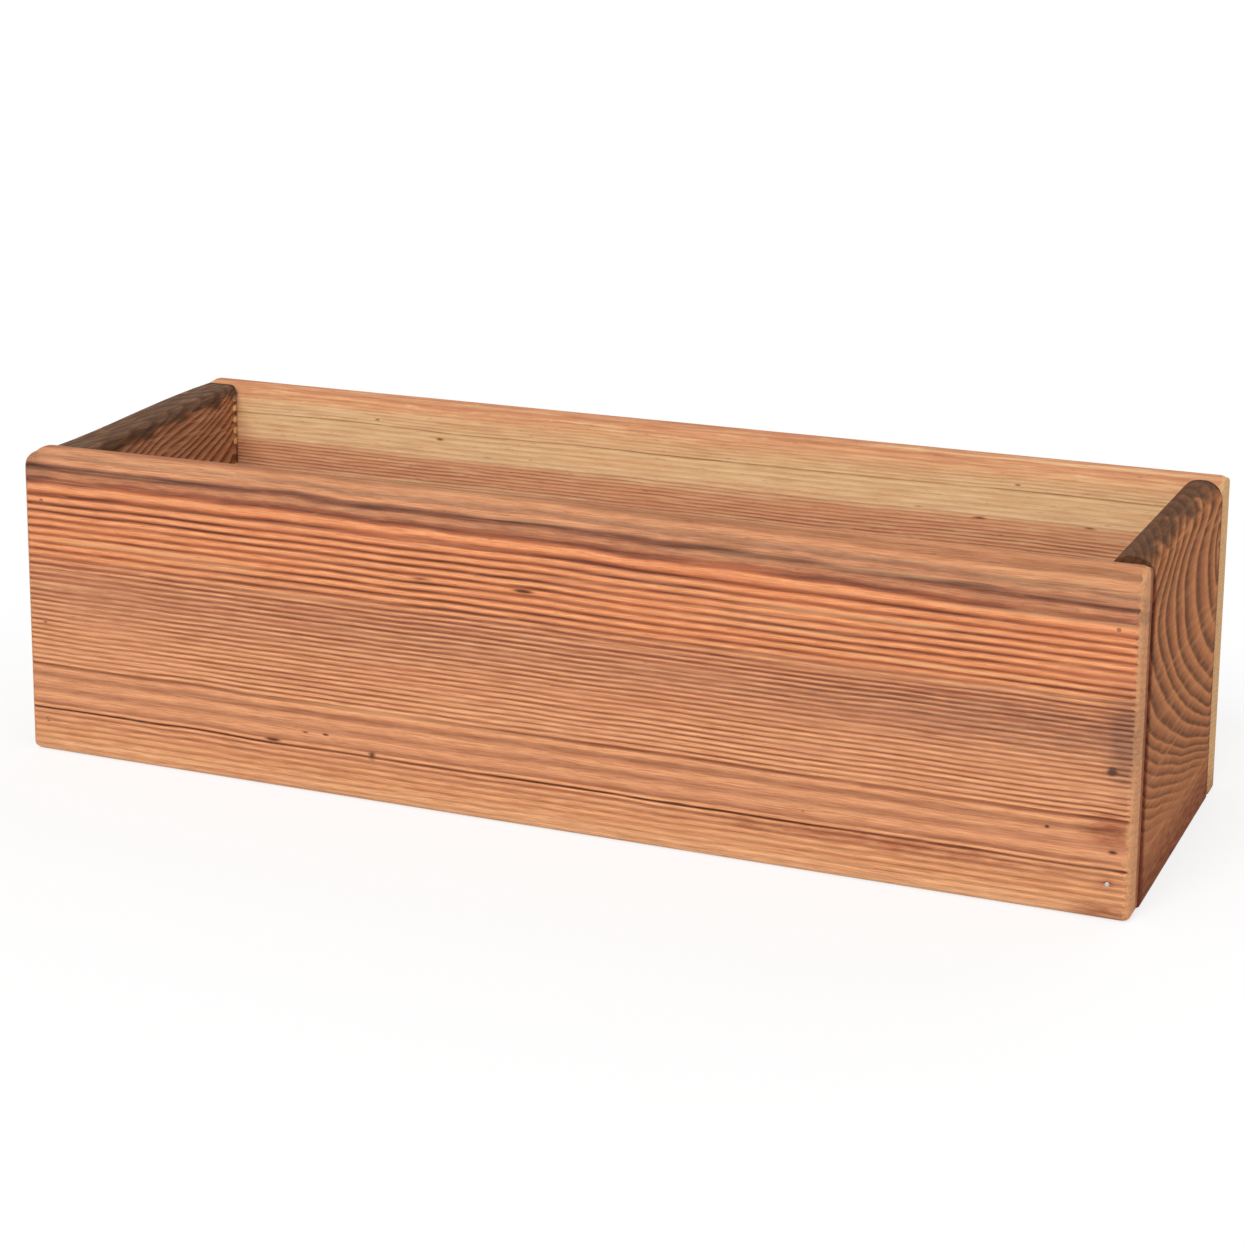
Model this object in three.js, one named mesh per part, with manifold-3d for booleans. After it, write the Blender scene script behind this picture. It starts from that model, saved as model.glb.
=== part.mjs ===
// A wooden window box planter: four solid boards nailed into an open-topped box, with a slatted
// floor that drains between its slats. Millimetres, +Z up. The origin is the middle of the footprint
// on the surface that the box stands on. X runs along the box and the front board faces -Y.

import * as THREE from "three";
import { mergeVertices } from "three/addons/utils/BufferGeometryUtils.js";
import Module from "manifold-3d";

const wasm = await Module();
wasm.setup();

// ---------- driving dimensions ----------

// Whole box
const LENGTH = 600;
const WIDTH = 206;
const HEIGHT = 170;

// Walls: the front and back boards run the full length, the end boards fit between them
const LONG_BOARD_THICKNESS = 21;
const END_BOARD_THICKNESS = 22;
const END_BOARD_DROP = 0.8; // the end boards' tops lie this far below the long boards' tops

// Eased edges of the front and back boards
const RIM_ROUND = 10; // both edges of the top
const FOOT_ROUND = 5; // both edges of the underside
const BUTT_ROUND = 4; // the upright edges at each end
const CORNER_ROUND = 4; // corners of the face, seen from the front
const WORN_CORNER_ROUND = 11; // the front board's top left corner, which is sanded rounder

// Eased edges of the end boards, whose top is rounded over as RIM_ROUND says
const END_BOARD_EASE = 2.5;

// Cleats: a batten across each end board's inner face, which carries the floor
const CLEAT_HEIGHT = 16;
const CLEAT_DEPTH = 15;
const CLEAT_LIFT = 3; // underside of the cleats above the ground
const CLEAT_EASE = 1;

// Floor slats, laid lengthwise on the cleats
const SLAT_COUNT = 3;
const SLAT_THICKNESS = 14;
const SLAT_EASE = 1.5;
const DRAIN_GAP = 8;
const FLOOR_CLEARANCE = 0.5; // between the floor or a cleat and the board beside it

// Nails
const NAIL_CLEARANCE = 0.3; // between a nail and the wood around it
const CORNER_NAIL = { shank: 1.8, head: 2.5, bite: 24 }; // diameters, and its depth in the second piece
const FLOOR_NAIL = { shank: 1.6, head: 3, bite: 11 };
const NAIL_HEAD_HEIGHT = 1.2;
const NAIL_SINK = 0.2; // heads lie this far under the face
const LOW_NAIL_HEIGHT = 18; // corner nails: two placed from the foot, one from the rim
const MIDDLE_NAIL_HEIGHT = 73;
const HIGH_NAIL_DEPTH = 30;
const SLAT_NAIL_INSET = 12; // from a slat's long edge

// Facets
const ROUND_STEPS = 6; // segments in a quarter turn
const NAIL_SIDES = 10;

// ---------- sizes worked out from them ----------

const rimRound = Math.min(RIM_ROUND, LONG_BOARD_THICKNESS / 2, END_BOARD_THICKNESS / 2);
const footRound = Math.min(FOOT_ROUND, LONG_BOARD_THICKNESS / 2);
const buttRound = Math.min(BUTT_ROUND, LONG_BOARD_THICKNESS / 2);
const cavityWidth = WIDTH - 2 * LONG_BOARD_THICKNESS;
const cavityLength = LENGTH - 2 * END_BOARD_THICKNESS;
const endBoardHeight = HEIGHT - END_BOARD_DROP;
const endBoardX = (LENGTH - END_BOARD_THICKNESS) / 2;
const longBoardY = (WIDTH - LONG_BOARD_THICKNESS) / 2;
const floorWidth = cavityWidth - 2 * FLOOR_CLEARANCE;
const floorLength = cavityLength - 2 * FLOOR_CLEARANCE;
const floorUnderside = CLEAT_LIFT + CLEAT_HEIGHT;
const floorTop = floorUnderside + SLAT_THICKNESS;
const cleatX = (cavityLength - CLEAT_DEPTH) / 2;
const cornerNailHeights = [LOW_NAIL_HEIGHT, MIDDLE_NAIL_HEIGHT, HEIGHT - HIGH_NAIL_DEPTH];
const slatWidth = (floorWidth - (SLAT_COUNT - 1) * DRAIN_GAP) / SLAT_COUNT;
const slatPitch = slatWidth + DRAIN_GAP;

// ---------- shape helpers ----------

// A rectangle about the origin with one radius for each corner, from low left counter-clockwise.
function easedRectangle(width, height, [lowLeft, lowRight, topRight, topLeft]) {
  const w = width / 2;
  const h = height / 2;
  const shape = new THREE.Shape();
  const corner = (x, y, r, turn) => {
    const start = (turn * Math.PI) / 2;
    if (r > 0) shape.absarc(x, y, r, start, start + Math.PI / 2, false);
    else shape.lineTo(x, y);
  };
  shape.moveTo(-w, -h + lowLeft);
  corner(-w + lowLeft, -h + lowLeft, lowLeft, 2);
  corner(w - lowRight, -h + lowRight, lowRight, 3);
  corner(w - topRight, h - topRight, topRight, 0);
  corner(-w + topLeft, h - topLeft, topLeft, 1);
  shape.closePath();
  return shape;
}

const X = new THREE.Vector3(1, 0, 0);
const Y = new THREE.Vector3(0, 1, 0);
const Z = new THREE.Vector3(0, 0, 1);

// A prism about the origin: the shape's own axes lie along `across` and `up`, its depth along `along`.
function prism(shape, depth, [across, up, along]) {
  const options = { depth, bevelEnabled: false, curveSegments: ROUND_STEPS };
  return new THREE.ExtrudeGeometry(shape, options)
    .translate(0, 0, -depth / 2)
    .applyMatrix4(new THREE.Matrix4().makeBasis(across, up, along));
}

function toSolid(geometry) {
  const bare = geometry.clone();
  bare.deleteAttribute("normal");
  bare.deleteAttribute("uv");
  const merged = mergeVertices(bare, 1e-4);
  const vertProperties = new Float32Array(merged.attributes.position.array);
  const triVerts = new Uint32Array(merged.index.array);
  return new wasm.Manifold(new wasm.Mesh({ numProp: 3, vertProperties, triVerts }));
}

function toGeometry(solid) {
  const mesh = solid.getMesh();
  const geometry = new THREE.BufferGeometry();
  geometry.setAttribute("position", new THREE.BufferAttribute(mesh.vertProperties, 3));
  geometry.setIndex(new THREE.BufferAttribute(mesh.triVerts, 1));
  const faceted = geometry.toNonIndexed();
  faceted.computeVertexNormals();
  return faceted;
}

// A board with eased edges, standing on z = 0 about the Z axis. `alongX` holds the radii of the edges
// that run along X, in the order of easedRectangle seen with Y across and Z up; `alongY` those along Y,
// with Z across and X up; `alongZ` those along Z, with X across and Y up.
function easedBoard([lengthX, widthY, heightZ], { alongX, alongY, alongZ }) {
  const profiles = [
    prism(easedRectangle(widthY, heightZ, alongX), lengthX, [Y, Z, X]),
    prism(easedRectangle(heightZ, lengthX, alongY), widthY, [Z, X, Y]),
    prism(easedRectangle(lengthX, widthY, alongZ), heightZ, [X, Y, Z]),
  ];
  const block = profiles.map(toSolid).reduce((body, profile) => body.intersect(profile));
  return block.translate([0, 0, heightZ / 2]);
}

// ---------- nails ----------

// A nail lies along an axis that points out of its head. It goes through `through` millimetres of
// wood and `bite` more. `grown` widens it into the hole that clears it, open above the head.
function nailProfile({ shank, head, bite }, through, grown = 0) {
  const shankRadius = shank / 2 + grown;
  const headRadius = head / 2 + grown;
  const tip = -(through + bite) - grown;
  const underHead = -NAIL_SINK - NAIL_HEAD_HEIGHT - grown;
  const top = grown ? headRadius : -NAIL_SINK;
  return [
    [0, tip],
    [shankRadius, tip + 2 * shank],
    [shankRadius, underHead],
    [headRadius, underHead],
    [headRadius, grown ? top : top - NAIL_HEAD_HEIGHT / 4],
    [0, top],
  ].map(([radius, height]) => new THREE.Vector2(radius, height));
}

function nailGeometry(nail, grown = 0) {
  const turn = new THREE.Quaternion().setFromUnitVectors(Y, nail.axis);
  return new THREE.LatheGeometry(nailProfile(nail.kind, nail.through, grown), NAIL_SIDES)
    .applyQuaternion(turn)
    .translate(...nail.head.toArray());
}

function nailHole(nail) {
  return toSolid(nailGeometry(nail, NAIL_CLEARANCE));
}

const nails = [];

function addNail(name, kind, through, head, axis) {
  nails.push({ name, kind, through, head: new THREE.Vector3(...head), axis });
}

const ends = [
  { end: "left", toward: -1 },
  { end: "right", toward: 1 },
];
const longSides = [
  { side: "front", toward: -1 },
  { side: "back", toward: 1 },
];

// Corner nails: through each long board into the edge of each end board
for (const { side, toward: outY } of longSides) {
  for (const { end, toward: outX } of ends) {
    cornerNailHeights.forEach((height, i) => {
      const head = [outX * endBoardX, (outY * WIDTH) / 2, height];
      const name = `corner_nail_${side}_${end}_${i + 1}`;
      addNail(name, CORNER_NAIL, LONG_BOARD_THICKNESS, head, Y.clone().multiplyScalar(outY));
    });
  }
}

// Cleat nails: through each cleat into the end board, under the gaps between the slats
for (const { end, toward: outX } of ends) {
  for (let gap = 1; gap < SLAT_COUNT; gap++) {
    const y = (gap - SLAT_COUNT / 2) * slatPitch;
    const head = [outX * (cavityLength / 2 - CLEAT_DEPTH), y, CLEAT_LIFT + CLEAT_HEIGHT / 2];
    addNail(`cleat_nail_${end}_${gap}`, FLOOR_NAIL, CLEAT_DEPTH, head, X.clone().multiplyScalar(-outX));
  }
}

// Slat nails: down through each slat into the cleats
for (let slat = 0; slat < SLAT_COUNT; slat++) {
  const middle = slatMiddle(slat);
  for (const { end, toward: outX } of ends) {
    [-1, 1].forEach((half, i) => {
      const y = middle + half * (slatWidth / 2 - SLAT_NAIL_INSET);
      const name = `slat_nail_${slat + 1}_${end}_${i + 1}`;
      addNail(name, FLOOR_NAIL, SLAT_THICKNESS, [outX * cleatX, y, floorTop], Z);
    });
  }
}

// ---------- boards ----------

function longBoard(outY, topLeftRound) {
  const board = easedBoard([LENGTH, LONG_BOARD_THICKNESS, HEIGHT], {
    alongX: [footRound, footRound, rimRound, rimRound],
    alongY: [CORNER_ROUND, topLeftRound, CORNER_ROUND, CORNER_ROUND],
    alongZ: Array(4).fill(buttRound),
  });
  return board.translate([0, outY * longBoardY, 0]);
}

function endBoard(outX) {
  const board = easedBoard([END_BOARD_THICKNESS, cavityWidth, endBoardHeight], {
    alongX: [END_BOARD_EASE, END_BOARD_EASE, 0, 0],
    alongY: [END_BOARD_EASE, rimRound, rimRound, END_BOARD_EASE],
    alongZ: Array(4).fill(END_BOARD_EASE),
  });
  return board.translate([outX * endBoardX, 0, 0]);
}

function batten(size, ease) {
  const radii = Array(4).fill(ease);
  return easedBoard(size, { alongX: radii, alongY: radii, alongZ: radii });
}

function cleat(outX) {
  const board = batten([CLEAT_DEPTH, floorWidth, CLEAT_HEIGHT], CLEAT_EASE);
  return board.translate([outX * cleatX, 0, CLEAT_LIFT]);
}

function slatMiddle(index) {
  return (index - (SLAT_COUNT - 1) / 2) * slatPitch;
}

function floorSlat(index) {
  const board = batten([floorLength, slatWidth, SLAT_THICKNESS], SLAT_EASE);
  return board.translate([0, slatMiddle(index), floorUnderside]);
}

// ---------- assembly ----------

function wood(color, roughness = 0.75) {
  return new THREE.MeshStandardMaterial({ color, roughness, metalness: 0 });
}

const steel = new THREE.MeshStandardMaterial({ color: 0xa9a69c, roughness: 0.45, metalness: 1 });

const planter = new THREE.Group();

function addMesh(name, geometry, material) {
  const mesh = new THREE.Mesh(geometry, material);
  mesh.name = name;
  planter.add(mesh);
}

// Adds a wooden piece, with a hole for every nail that enters it.
function addWood(name, body, color) {
  const nailed = nails.map(nailHole).reduce((rest, hole) => rest.subtract(hole), body);
  addMesh(name, toGeometry(nailed), wood(color));
}

addWood("front_board", longBoard(-1, WORN_CORNER_ROUND), 0xc9824f);
addWood("back_board", longBoard(1, CORNER_ROUND), 0xd29a62);
addWood("left_end_board", endBoard(-1), 0x8a5a3c);
addWood("right_end_board", endBoard(1), 0x95603f);
addWood("left_cleat", cleat(-1), 0xb98a5c);
addWood("right_cleat", cleat(1), 0xb98a5c);
for (let slat = 0; slat < SLAT_COUNT; slat++) {
  addWood(`floor_slat_${slat + 1}`, floorSlat(slat), 0xc08c5a);
}
for (const nail of nails) {
  addMesh(nail.name, nailGeometry(nail), steel);
}

export default planter;
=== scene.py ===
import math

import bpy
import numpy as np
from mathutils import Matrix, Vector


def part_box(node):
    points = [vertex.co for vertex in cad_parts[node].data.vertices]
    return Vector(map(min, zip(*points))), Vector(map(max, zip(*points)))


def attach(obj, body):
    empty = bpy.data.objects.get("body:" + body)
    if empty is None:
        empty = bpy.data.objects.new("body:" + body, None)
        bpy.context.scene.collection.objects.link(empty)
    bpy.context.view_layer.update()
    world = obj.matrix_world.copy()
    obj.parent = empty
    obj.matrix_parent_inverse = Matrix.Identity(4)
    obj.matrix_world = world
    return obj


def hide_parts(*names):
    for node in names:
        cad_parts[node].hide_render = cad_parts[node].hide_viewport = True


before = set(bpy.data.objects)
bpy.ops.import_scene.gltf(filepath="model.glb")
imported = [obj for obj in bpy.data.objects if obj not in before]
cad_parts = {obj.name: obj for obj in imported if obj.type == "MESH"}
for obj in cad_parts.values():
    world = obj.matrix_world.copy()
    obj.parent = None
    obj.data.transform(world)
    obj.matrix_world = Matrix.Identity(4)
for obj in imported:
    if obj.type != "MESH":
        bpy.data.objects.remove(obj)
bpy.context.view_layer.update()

# A window box planter of old softwood boards: two long boards nailed over two
# end boards, with a slatted floor on cleats. Every board is a fine mesh whose
# growth rings run through it in three dimensions, so that its faces, rim and
# end grain agree, and the brushed rings stand out of its surface.
# Wood is worked out in millimetres, and Blender's objects are in metres.

MM = 0.001
X, Y, Z = 0, 1, 2

# ---------------------------------------------------------------- the camera
# The photograph's width, optical centre and focal length in its own pixels, angles in degrees
# and distances in metres.
PHOTO_SIZE = 1244
OPTICAL_CENTRE = (622, 400)
FOCAL_LENGTH = 2728
CAMERA_AZIMUTH = 22.69
CAMERA_ELEVATION = 11.842
CAMERA_ROLL = 0.516
CAMERA_DISTANCE = 1.4199
CAMERA_TARGET = Vector((0.0018, 0.0004, 0.20075))
SENSOR_WIDTH = 36

# ----------------------------------------------------------------- the light
AMBIENT = 0.48
# Each lamp: the direction it shines from, its strength, and how many degrees wide it is.
LAMPS = {
    "key": (Vector((-0.1, -1.0, 0.9)), 1.85, 35),
    "fill": (Vector((1.0, -0.3, 0.5)), 0.4, 50),
    "back": (Vector((0.2, 1.0, 0.7)), 0.6, 50),
}
FLOOR_HALF_SIZE = 6.0
FLOOR_ALBEDO = 0.85
FLOOR_GLOW = 0.72

# ---------------------------------------------------------------- the boards
# The radii of their rounds, and the least that they leave of a board's half thickness.
RIM_ROUND = 10
FOOT_ROUND = 5
BUTT_ROUND = 4
CORNER_ROUND = 4
WORN_CORNER_ROUND = 11
BACK_CORNER_ROUND = 1.5
END_BOARD_EASE = 1.2
LEFT_END_RIM_ROUND = 4.5
SLAT_EASE = 1.5
CLEAT_EASE = 1
LEAST_FLAT = 0.25
# How far the top of the front board is worn down, how much more at its left end, and how low
# the left end board's front end sits.
FRONT_WEAR = 1.8
FRONT_LEFT_WEAR = 0.5
LEFT_END_DROP = 5.6

# How far apart the meshes' grid lines are: along the grain, through the board and up.
LONG_STEPS = (4.5, 1.0, 0.8)
END_STEPS = (2.0, 1.0, 0.8)
SLAT_STEPS = (5.0, 0.8, 1.2)
CLEAT_STEPS = (3.0, 0.8, 0.8)
# They are closer near ends and nails: the reach, and how far apart they are within it.
END_FINE = (15, 1.3)
NAIL_FINE = (4, 0.6)

# The pit round a nail's head: where it starts to fall away, its edge and its depth.
NAIL_PIT = (1.4, 2.5, 0.35)


def srgb(red, green, blue):
    """A colour as it looks on the screen, from 0 to 255, as a linear RGBA."""
    def linear(value):
        share = value / 255
        return share / 12.92 if share <= 0.04045 else ((share + 0.055) / 1.055) ** 2.4
    return (linear(red), linear(green), linear(blue), 1.0)


# ------------------------------------------------------------ fields in wood
def drift(points, seed, wavelengths, waves=14):
    """A smooth random field of about -1 to 1, with one wavelength for each axis."""
    random = np.random.default_rng(seed)
    pitch = random.normal(0, 1, (waves, 3)) * 2 * math.pi / np.array(wavelengths)
    start = random.uniform(0, 2 * math.pi, waves)
    return np.cos(points @ pitch.T + start).sum(1) * math.sqrt(2 / waves) * 0.7


def smooth(value, low, high):
    """0 below low and 1 above high, with a soft step between them."""
    share = np.clip((value - low) / (high - low), 0, 1)
    return share * share * (3 - 2 * share)


def spot(points, centre, reach):
    """1 at the centre of a spot and about 0 past its reach, which has one length per axis."""
    offset = (points - np.array(centre)) / np.array(reach)
    return np.exp(-2.5 * (offset ** 2).sum(1))


def curve(value, knots):
    """Straight pieces through knots, each a place and its value."""
    return np.interp(value, *np.array(knots, float).T)


def ring_relief(ring, strength):
    """Depth of the brushed early wood between the latewood ridges, in millimetres."""
    away = np.abs(ring - np.round(ring))
    return strength * (1 - np.exp(-(away / 0.18) ** 2))


def layer_height(points, pith, face, up):
    """The height at which the growth layer of each point meets the board's outer face."""
    across = np.hypot(points[:, Y] - pith[0], points[:, Z] - pith[1])
    depth = face - pith[0]
    return pith[1] + up * np.sqrt(np.maximum(across ** 2 - depth ** 2, 1))


def nail_pits(points, heads, axis):
    """How deep the wood is knocked in round the nail heads on the faces across an axis."""
    start, edge, deep = NAIL_PIT
    depth = np.zeros(len(points))
    for head in heads:
        offset = points - head
        offset[:, axis] = np.maximum(np.abs(offset[:, axis]) - 1, 0)
        away = np.linalg.norm(offset, axis=1)
        depth = np.maximum(depth, deep * (1 - smooth(away, start, edge)))
    return depth


# ------------------------------------------------------------- board meshes
def stops(low, high, step, fine=()):
    """Grid lines from low to high, a step apart, or closer near each (centre, reach, step)."""
    lines = [low]
    while lines[-1] < high:
        here = lines[-1]
        near = [close for centre, reach, close in fine if abs(here - centre) < reach]
        lines.append(here + min(near + [step]))
    lines = np.array(lines)
    return low + (lines - low) * (high - low) / (lines[-1] - low)


def shell(grid):
    """The surface of a box cut at the grid's lines: its points, and its quads facing out."""
    counts = [len(lines) for lines in grid]
    place = np.meshgrid(*[np.arange(count) for count in counts], indexing="ij")
    on_side = np.zeros(counts, bool)
    for axis, count in enumerate(counts):
        on_side |= (place[axis] == 0) | (place[axis] == count - 1)
    index = np.full(counts, -1)
    index[on_side] = np.arange(on_side.sum())
    points = np.stack([grid[axis][place[axis][on_side]] for axis in (X, Y, Z)], 1)
    quads = []
    for axis in (X, Y, Z):
        for end in (0, -1):
            side = np.take(index, end, axis=axis)
            corners = [side[:-1, :-1], side[1:, :-1], side[1:, 1:], side[:-1, 1:]]
            quad = np.stack(corners, -1).reshape(-1, 4)
            faces_out = (axis != Y) == (end == -1)
            quads.append(quad if faces_out else quad[:, ::-1])
    return points, np.concatenate(quads)


def round_corner(points, axes, corner, radius):
    """Draws the square corner of an outline in to a quarter circle, and the grid with it."""
    offsets = [(points[:, axis] - edge) * side + radius
               for axis, (edge, side) in zip(axes, corner)]
    inside = (offsets[0] > 0) & (offsets[1] > 0)
    reach = np.hypot(*offsets)
    share = np.maximum(*offsets) / np.where(inside, reach, 1)
    for axis, (edge, side), offset in zip(axes, corner, offsets):
        eased = edge + side * (offset * share - radius)
        points[:, axis] = np.where(inside, eased, points[:, axis])


def ease(distance, radius):
    """Where a grid line goes on an edge's round, and how far the round has drawn in there."""
    turn = np.clip(distance / radius, 0, 1) * math.pi / 2
    moved = np.where(distance < radius, radius * (1 - np.cos(turn)), distance)
    return moved, radius * (1 - np.sin(turn))


def board_points(points, low, high, along, rounds, corners):
    """Shapes a box's grid into a board: rounds holds the radii of its rim, foot and ends."""
    across = 1 - along
    rim, foot, butt = rounds
    middle = (low + high) / 2
    half = (high - low) / 2
    side = np.sign(points[:, along] - middle[along])
    from_end, end_drop = ease(half[along] - np.abs(points[:, along] - middle[along]), butt)
    from_rim, rim_drop = ease(high[Z] - points[:, Z], rim)
    from_foot, foot_drop = ease(points[:, Z] - low[Z], foot)
    drop = (end_drop ** 3 + rim_drop ** 3 + foot_drop ** 3) ** (1 / 3)
    drop = np.minimum(drop, half[across] - LEAST_FLAT)
    points[:, along] = middle[along] + side * (half[along] - from_end)
    points[:, Z] = np.where(points[:, Z] > middle[Z], high[Z] - from_rim, low[Z] + from_foot)
    shrink = 1 - drop / half[across]
    points[:, across] = middle[across] + (points[:, across] - middle[across]) * shrink
    for (out, up), radius in corners.items():
        edge = high[along] if out > 0 else low[along]
        level = high[Z] if up > 0 else low[Z]
        round_corner(points, (along, Z), ((edge, out), (level, up)), radius)


def normals(points, quads):
    """The outward direction at each point of a mesh of quads."""
    corner = points[quads]
    facing = np.cross(corner[:, 2] - corner[:, 0], corner[:, 3] - corner[:, 1])
    total = np.zeros_like(points)
    for place in range(4):
        np.add.at(total, quads[:, place], facing)
    return total / np.maximum(np.linalg.norm(total, axis=1, keepdims=True), 1e-12)


def mesh_object(name, points, quads, attributes):
    """A smooth mesh object from points in millimetres, with a number at each point by attribute."""
    mesh = bpy.data.meshes.new(name)
    mesh.vertices.add(len(points))
    mesh.vertices.foreach_set("co", (points * MM).astype(np.float32).ravel())
    mesh.loops.add(quads.size)
    mesh.loops.foreach_set("vertex_index", quads.astype(np.int32).ravel())
    mesh.polygons.add(len(quads))
    mesh.polygons.foreach_set("loop_start", np.arange(0, quads.size, 4, dtype=np.int32))
    mesh.update(calc_edges=True)
    mesh.polygons.foreach_set("use_smooth", np.ones(len(quads), bool))
    for key, values in attributes.items():
        layer = mesh.attributes.new(key, "FLOAT", "POINT")
        layer.data.foreach_set("value", values.astype(np.float32))
    piece = bpy.data.objects.new(name, mesh)
    bpy.context.scene.collection.objects.link(piece)
    return piece


def box_mm(node):
    """The lowest and highest corner of a CAD node, in millimetres."""
    low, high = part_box(node)
    return np.array(low) / MM, np.array(high) / MM


def dress(piece, node, material):
    """Gives a piece its material and lets it stand for a CAD node."""
    piece.data.materials.append(material)
    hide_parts(node)
    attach(piece, "root")


def unworn(points):
    """How far down the top of a board is worn that has kept its height."""
    return 0.0


def add_board(node, along, wood, material, rounds, corners, steps, nails=(),
              worn=unworn):
    """Replaces a CAD board by a fine mesh of the same size, carved by its wood's grain."""
    low, high = box_mm(node)
    grain, thick, tall = steps
    fine = [(end, *END_FINE) for end in (low[along], high[along])]
    fine += [(place, *NAIL_FINE) for place in nails]
    grid = [None, None, stops(low[Z], high[Z], tall)]
    grid[along] = stops(low[along], high[along], grain, fine)
    grid[1 - along] = stops(low[1 - along], high[1 - along], thick)
    points, quads = shell(grid)
    board_points(points, low, high, along, rounds, corners)
    points[:, Z] -= worn(points) * smooth(points[:, Z], low[Z], high[Z])
    fields = wood(points, low, high)
    depth = np.maximum(fields.pop("depth"), 0)
    points -= normals(points, quads) * depth[:, None]
    dress(mesh_object(node + "_wood", points, quads, fields), node, material)


# ------------------------------------------------------------ shader helpers
class Nodes:
    """Short calls that add shader nodes to one material."""

    def __init__(self, name):
        self.material = bpy.data.materials.new(name)
        self.material.use_nodes = True
        self.tree = self.material.node_tree
        self.shader = self.tree.nodes["Principled BSDF"]
        self.output = self.tree.nodes["Material Output"]

    def link(self, source, socket):
        if isinstance(source, bpy.types.NodeSocket):
            self.tree.links.new(source, socket)
        else:
            socket.default_value = source

    def add(self, kind, **settings):
        node = self.tree.nodes.new(kind)
        for key, value in settings.items():
            setattr(node, key, value)
        return node

    def attribute(self, name):
        return self.add("ShaderNodeAttribute", attribute_name=name).outputs["Fac"]

    def math(self, operation, *values, clamp=False):
        node = self.add("ShaderNodeMath", operation=operation, use_clamp=clamp)
        for socket, value in zip(node.inputs, values):
            self.link(value, socket)
        return node.outputs[0]

    def remap(self, value, low, high, to_low=0.0, to_high=1.0):
        node = self.add("ShaderNodeMapRange", interpolation_type="SMOOTHSTEP")
        settings = {"Value": value, "From Min": low, "From Max": high,
                    "To Min": to_low, "To Max": to_high}
        for key, setting in settings.items():
            self.link(setting, node.inputs[key])
        return node.outputs["Result"]

    def mix(self, share, first, second, blend="MIX"):
        node = self.add("ShaderNodeMix", data_type="RGBA", blend_type=blend)
        socket = {name: [s for s in node.inputs if s.name == name and s.enabled][0]
                  for name in ("Factor", "A", "B")}
        self.link(share, socket["Factor"])
        self.link(first, socket["A"])
        self.link(second, socket["B"])
        return [s for s in node.outputs if s.enabled][0]

    def tint(self, share, colour, shade):
        """The colour multiplied by a shade, by a share from 0 to 1."""
        return self.mix(share, colour, self.mix(1.0, colour, shade, "MULTIPLY"))

    def ramp(self, value, colours):
        """Colours by place from 0 to 1; each is (place, colour) or (place, grey)."""
        node = self.add("ShaderNodeValToRGB")
        marks = node.color_ramp.elements
        while len(marks) < len(colours):
            marks.new(1.0)
        for mark, (place, colour) in zip(marks, colours):
            mark.position = place
            grey = isinstance(colour, (int, float))
            mark.color = (colour, colour, colour, 1) if grey else colour
        self.link(value, node.inputs["Fac"])
        return node.outputs["Color"]

    def place(self, scale, location=(0, 0, 0)):
        node = self.add("ShaderNodeMapping")
        self.link(self.add("ShaderNodeTexCoord").outputs["Object"], node.inputs["Vector"])
        node.inputs["Scale"].default_value = scale
        node.inputs["Location"].default_value = location
        return node.outputs["Vector"]

    def noise(self, sizes, detail=2.0, roughness=0.5, seed=0.0):
        """Noise from 0 to 1 whose lumps have these sizes in millimetres along X, Y and Z."""
        node = self.add("ShaderNodeTexNoise")
        place = self.place([1 / (size * MM) for size in sizes], (seed, seed * 0.7, -seed))
        self.link(place, node.inputs["Vector"])
        node.inputs["Scale"].default_value = 1.0
        node.inputs["Detail"].default_value = detail
        node.inputs["Roughness"].default_value = roughness
        return node.outputs["Fac"]

    def spot(self, centre, reach):
        """1 at the centre of a spot, falling to 0 at its reach; both in millimetres."""
        node = self.add("ShaderNodeTexGradient", gradient_type="SPHERICAL")
        place = self.place([1 / (size * MM) for size in reach],
                           [-middle / size for middle, size in zip(centre, reach)])
        self.link(place, node.inputs["Vector"])
        return node.outputs["Fac"]

    def bump(self, height, strength, depth):
        """Roughens the surface by a height from 0 to 1, whose depth is in millimetres."""
        node = self.add("ShaderNodeBump")
        node.inputs["Strength"].default_value = strength
        node.inputs["Distance"].default_value = depth * MM
        self.link(height, node.inputs["Height"])
        self.link(node.outputs["Normal"], self.shader.inputs["Normal"])


def streak_sizes(along, length, width):
    """Sizes of a streak in a board whose grain runs along X or Y."""
    sizes = [width, width, width]
    sizes[along] = length
    return sizes


# ------------------------------------------------------------- old softwood
# Shades that the wood's colour is multiplied by.
FIBRE_SHADE = srgb(206, 190, 180)
FLECK_SHADE = srgb(170, 128, 108)
MOTTLE_SHADE = srgb(212, 176, 160)
GRIT_SHADE = srgb(232, 220, 208)
WOOD_SPECULAR = 0.06


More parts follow.
